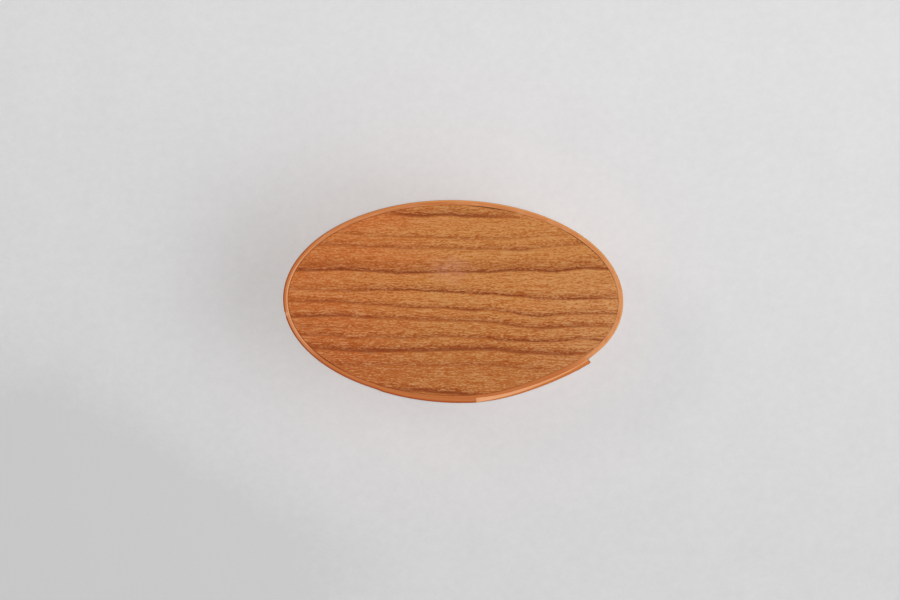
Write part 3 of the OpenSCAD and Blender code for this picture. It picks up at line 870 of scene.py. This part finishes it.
def band_wood(name, slope):
    """A bent strip, its grain running along it. Cut faces are paler, partly as painted light, and
    worn edges redder. The rim has painted light on its lit side, painted shade on its near side and
    left end, and painted highlights on its edges.
    """
    s = Shader(name)
    grain = s.attribute("grain")
    along, _, up = s.axes(grain)
    fibre = fibres(s, grain)
    sway = s.times(s.add(s.noise(grain, (9, 40, 40), 2.0), -0.5), 7 * MM)
    ragged = s.times(s.add(fibre, -0.5), 1.6 * MM)
    across = s.add(s.add(up, s.times(along, slope)), s.add(sway, ragged))
    turns = s.math("FRACT", s.math("DIVIDE", across, STRIP_RINGS))
    dark = s.ramp(turns, [(0.0, 0.0), (0.45, 0.12), (0.8, 0.4), (0.93, 1.0), (0.97, 1.0),
                          (1.0, 0.0)])
    dark = s.times(dark, s.spread(s.noise(grain, (20, 160, 160), 2.0), 0.3, 0.7, 0.1, 1.0))
    warm = s.noise(grain, (12, 70, 70), 2.0)
    colour = s.mix(s.spread(warm, 0.3, 0.7), GOLD, REDDISH)
    colour = s.mix(0.55, colour, RIM)
    crisp = s.spread(fibre, 0.34, 0.66)
    colour = s.mix(s.spread(crisp, 0.0, 0.5, 0.5, 0.0), colour, DEEP)
    colour = s.mix(s.spread(crisp, 0.5, 1.0, 0.0, 0.5), colour, LIGHT)
    colour = s.mix(s.times(dark, 0.6), colour, LATE)
    # The sawn upper and lower edges of the strip, with fine streaks along it
    streak = s.spread(s.noise(grain, (80, 2400, 900), 2.0), 0.35, 0.65)
    depth = s.attribute("depth", "Fac")
    # Painted light and shade on the rim: sun is painted light on the right side, shade is painted
    # shade on the near side
    sun = s.times(s.spread(along, SUN_Q[0], SUN_Q[1], 0, 1, True),
                  s.spread(along, SUN_Q[2], SUN_Q[3], 1, 0, True))
    shade = s.math("MAXIMUM", s.spread(along, SHADE_Q[0], SHADE_Q[1], 1, 0, True),
                   s.spread(along, SUN_Q[2], SUN_Q[3], 0, 1, True))
    edge_highlight = s.times(s.spread(along, HIGHLIGHT_Q[0], HIGHLIGHT_Q[1]),
                     s.spread(along, SUN_Q[2], SUN_Q[3], 1, 0))
    edge_highlight = s.math("MAXIMUM", edge_highlight, s.spread(along, FINGER_LEN - 10 * MM, FINGER_LEN, 0.4, 0))
    mottles = s.noise(grain, (260, 900, 900), 2.0)
    rim = s.mix(streak, RIM, RIM_PALE)
    rim = s.mix(s.times(sun, 0.7), rim, RIM_SUN)
    rim = s.mix(s.spread(mottles, 0.42, 0.62, 0, 0.5), rim, REDDISH)
    rim = s.mix(s.times(shade, 0.8), rim, RIM_SHADE)
    # At the left end the light catches the rim's inner arris, painted as a highlight, and a pale
    # streak runs along it
    left = s.times(s.spread(along, LEFT_Q[0], LEFT_Q[0] + 12 * MM, 0, 1, True),
                   s.spread(along, LEFT_Q[1] - 25 * MM, LEFT_Q[1], 1, 0, True))
    inner = s.ramp(depth, [(0.0, 0.0), (0.06, 0.0), (0.14, 1.0), (0.25, 1.0), (0.36, 0.0)])
    run = s.times(s.spread(along, STREAK_Q[0], STREAK_Q[0] + 5 * MM, 0, 1, True),
                  s.spread(along, STREAK_Q[1] - 5 * MM, STREAK_Q[1], 1, 0, True))
    wander = s.times(s.add(s.noise(grain, (60, 60, 60), 1.0), -0.5), 0.3)
    line = s.ramp(s.add(depth, wander), [(0.0, 0.0), (0.44, 0.0), (0.54, 1.0), (0.64, 0.0)])
    # Painted shade on the rim at the left end
    rim = s.mix(s.times(left, 0.4), rim, RIM_SHADE)
    pale = s.math("MAXIMUM", s.times(s.times(inner, left), 0.8), s.times(s.times(line, run), 0.7))
    rim = s.mix(pale, rim, CUT)
    worn = s.attribute("edge", "Fac")
    # The worn outer edge, darkest in its rounding, in painted shade, with a painted highlight where
    # the rim is lit
    edge = s.mix(edge_highlight, s.mix(s.spread(worn, 0.6, 1.0), EDGE, EDGE_WORN_SHADED), EDGE_SUN)
    # The outer part of the rim's top: painted shade, wider on the near side, or a painted highlight
    # where the rim is lit; none on the lap's inner layer
    outer = s.times(s.spread(s.add(depth, s.times(shade, 0.08)), 0.6, 0.85, 0, 0.88),
                    s.spread(along, perimeter, perimeter + 1 * MM, 1, 0))
    rim = s.mix(outer, rim, s.mix(edge_highlight, EDGE_WORN_SHADED, EDGE_SUN))
    colour = s.mix(s.times(s.attribute("rim", "Fac"), 0.9), colour, rim)
    colour = s.mix(s.spread(worn, 0.0, 0.7, 0.0, 0.88), colour, edge)
    # Cut faces and the nick show paler cut wood; on the fingers' cut faces this is partly painted
    # light
    cut = s.mix(s.times(streak, 0.35), CUT, RIM_PALE)
    cut = s.mix(s.spread(along, 10 * MM, 32 * MM, 0.4, 0), cut, RIM_PALE)
    colour = s.mix(s.times(s.attribute("cut", "Fac"), 0.85), colour, cut)
    return finish_wood(s, colour, s.add(fibre, s.times(dark, -0.3)))


def peg_wood():
    """End grain with clouds and pores, and a dark line of finish round it."""
    s = Shader("peg_wood")
    grain = s.attribute("grain")
    clouds = s.noise(grain, (900, 1400, 0), 2.0)
    speck = s.noise(grain, (6500, 6500, 0), 2.0, 0.6)
    rim = s.attribute("rim", "Fac")
    colour = s.mix(s.spread(clouds, 0.3, 0.7), srgb(168, 104, 58), srgb(204, 146, 92))
    colour = s.mix(s.spread(speck, 0.48, 0.66, 0, 0.6), colour, srgb(112, 62, 32))
    colour = s.mix(s.times(rim, 0.6), colour, DARKEST)
    return finish_wood(s, colour, s.add(clouds, s.times(speck, -1)), 0.03)


def copper():
    """Dull copper with hammer marks, darker, browner and rougher in patches."""
    s = Shader("copper")
    grain = s.attribute("grain")
    blows = s.node("TexVoronoi", {"Vector": s.scaled(grain, (1500, 1500, 1500)), "Scale": 1.0},
                   feature="SMOOTH_F1").outputs["Distance"]
    patina = s.noise(grain, (1100, 1100, 1100), 3.0, 0.6)
    colour = s.ramp(patina, [(0.3, srgb(122, 62, 40)), (0.5, srgb(196, 112, 76)),
                             (0.7, srgb(226, 150, 112))])
    s.put(s.surface.inputs["Base Color"], colour)
    s.surface.inputs["Metallic"].default_value = 1.0
    s.put(s.surface.inputs["Roughness"], s.spread(patina, 0.25, 0.75, 0.5, 0.28))
    s.bump(s.add(blows, s.times(patina, 0.2)), 0.05 * MM, 0.6)
    return s.material


FLOOR_X, FLOOR_Y = 137 * MM, 87 * MM   # how far from the box the floor's painted shade is spread
FLOOR_HALF = 3.0                       # half the floor's width, in metres


def paper_floor():
    """A pale board with a faint tooth, soft clouds and painted shade where the light falls off."""
    s = Shader("floor_paper")
    place_on = s.node("TexCoord", {}).outputs["Object"]
    x, y, _ = s.axes(place_on)
    tooth = s.noise(place_on, (900, 900, 900), 3.0, 0.6)
    mottles = s.noise(place_on, (330, 330, 330), 2.0)
    clouds = s.noise(place_on, (60, 60, 60), 2.0)
    shade = s.add(s.times(s.add(tooth, -0.5), 0.25), s.times(s.add(mottles, -0.5), 0.3))
    shade = s.add(shade, s.times(s.add(clouds, -0.5), 0.2))
    # Painted shade where the light falls off: darker towards the near left corner and the near
    # side, lighter towards the far side and the right
    falloff = s.add(s.spread(x, 0, -FLOOR_X), s.spread(y, 0, -FLOOR_Y))
    shade = s.add(shade, s.spread(falloff, 1.0, 2.2, 0.0, -1.2, True))
    shade = s.add(shade, s.spread(y, -FLOOR_Y, FLOOR_Y, -0.22, 0.22))
    shade = s.add(shade, s.spread(x, -FLOOR_X, FLOOR_X, -0.06, 0.06))
    colour = s.mix(s.add(shade, 0.5), srgb(215, 216, 217), srgb(241, 242, 243))
    s.put(s.surface.inputs["Base Color"], colour)
    s.surface.inputs["Roughness"].default_value = 0.9
    s.surface.inputs["Specular IOR Level"].default_value = 0.1
    s.bump(tooth, 0.15 * MM, 0.35)
    return s.material


# ---------------------------------------------------------------- the pieces
board_top = board_wood("board_top", LID_RINGS)
board_low = board_wood("board_low", BOTTOM_RINGS)
lid_wood = band_wood("lid_wood", 0.02)
box_wood = band_wood("box_wood", -0.035)
tack_copper = copper()
peg_end = peg_wood()

finger_zone = lid_low.z - FINGER_MARGIN
lid_h = lid_high.z - lid_low.z
lid_sunk = LEG_R + 0.02 * MM   # the lid's clinched points are sunk, to clear the box inside it
base_q = FINGER_LEN + BASE_TACK
bottom_middle = bottom_high.z / 2
lid_board_middle = (lid_board_low.z + lid_board_high.z) / 2

PIECES = [
    # piece, body, slot, CAD node
    (make_band("box_strip", BOX_INSET, box_low.z, box_high.z, BOX_FINGERS, finger_zone,
               box_wood, 1.0),
     "box", "band", "box_band"),
    (make_band("lid_strip", LID_INSET, lid_low.z, lid_high.z, 1, lid_h, lid_wood, 2.0),
     "lid", "band", "lid_band"),
    (make_board("bottom_panel", BOX_INSET, bottom_low.z, bottom_high.z, board_low, 4.0),
     "box", "board", "bottom_board"),
    (make_board("lid_panel", LID_INSET, lid_board_low.z, lid_board_high.z, board_top, 6.0),
     "lid", "board", "lid_board"),
    (tack_row("box_tip_nails", tack_copper, BOX_INSET, TIP_TACK, 0, BOX_FINGERS, finger_zone,
              0, 1.0),
     "box", "tack", "box_fingertip_tacks"),
    (tack_row("box_base_nails", tack_copper, BOX_INSET, base_q, 0, BOX_FINGERS, finger_zone,
              0, 2.3),
     "box", "tack", "box_base_tacks"),
    (tack_row("lid_tip_nail", tack_copper, LID_INSET, TIP_TACK, lid_low.z, 1, lid_h,
              lid_sunk, 3.1),
     "lid", "tack", "lid_fingertip_tack"),
    (tack_row("lid_base_nail", tack_copper, LID_INSET, base_q, lid_low.z, 1, lid_h,
              lid_sunk, 4.7),
     "lid", "tack", "lid_base_tack"),
    (peg_row("bottom_peg_ends", peg_end, BOX_INSET, bottom_middle, 0.5),
     "box", "peg", "bottom_pegs"),
    (peg_row("lid_peg_ends", peg_end, LID_INSET, lid_board_middle, 5.5),
     "lid", "peg", "lid_pegs"),
]
for piece, body, slot, node in PIECES:
    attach(piece, body)
    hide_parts(node)


# ---------------------------------------------------------------- floor, light and camera
def add_floor():
    half = FLOOR_HALF
    verts = [(-half, -half, 0), (half, -half, 0), (half, half, 0), (-half, half, 0)]
    floor = new_object("floor", verts, [(0, 1, 2, 3)], paper_floor())


AIM = Vector((0, 0, 0))      # where all lights point
ROOM_LIGHT = 0.06            # strength of the light from all round
LIGHTS = [
    # name, place in metres, diameter in metres, power in watts, colour
    ("ceiling", (0.0, 0.0, 1.6), 0.08, 14.3, (1.0, 1.0, 1.0)),
    ("window", (1.03, 0.0, 1.23), 1.2, 4.85, (0.98, 0.99, 1.0)),
    ("side_window", (1.06, -0.61, 1.03), 1.2, 3.53, (0.98, 0.99, 1.0)),
    ("far_wall", (-0.89, 0.51, 1.23), 0.5, 1.7, (1.0, 0.84, 0.7)),
]


def add_light(name, place_at, size, power, colour):
    """A round lamp."""
    data = bpy.data.lights.new(name, "AREA")
    data.shape = "DISK"
    data.size = size
    data.energy = power
    data.color = colour
    lamp = bpy.data.objects.new(name, data)
    lamp.location = place_at
    lamp.rotation_euler = (AIM - Vector(place_at)).to_track_quat("-Z", "Y").to_euler()
    bpy.context.collection.objects.link(lamp)


def add_camera():
    """Straight above, with the lid at the photograph's place, size and turn."""
    scale = (lid_high.x - lid_low.x) / LID_PX
    data = bpy.data.cameras.new("camera")
    data.sensor_width = SENSOR
    data.lens = SENSOR * CAMERA_H / (PHOTO_W * scale)
    camera = bpy.data.objects.new("camera", data)
    camera.location = (-(CENTRE_PX[0] - IMAGE_MIDDLE[0]) * scale,
                       (CENTRE_PX[1] - IMAGE_MIDDLE[1]) * scale, lid_high.z + CAMERA_H)
    camera.rotation_euler = (0, 0, math.radians(TURN_DEG))
    bpy.context.collection.objects.link(camera)
    bpy.context.scene.camera = camera


add_floor()
world = bpy.data.worlds.new("room")
bpy.context.scene.world = world
world.use_nodes = True
background = world.node_tree.nodes["Background"]
background.inputs["Color"].default_value = (1, 1, 1, 1)
background.inputs["Strength"].default_value = ROOM_LIGHT
for light in LIGHTS:
    add_light(*light)
add_camera()
bpy.context.scene.view_settings.view_transform = "Standard"
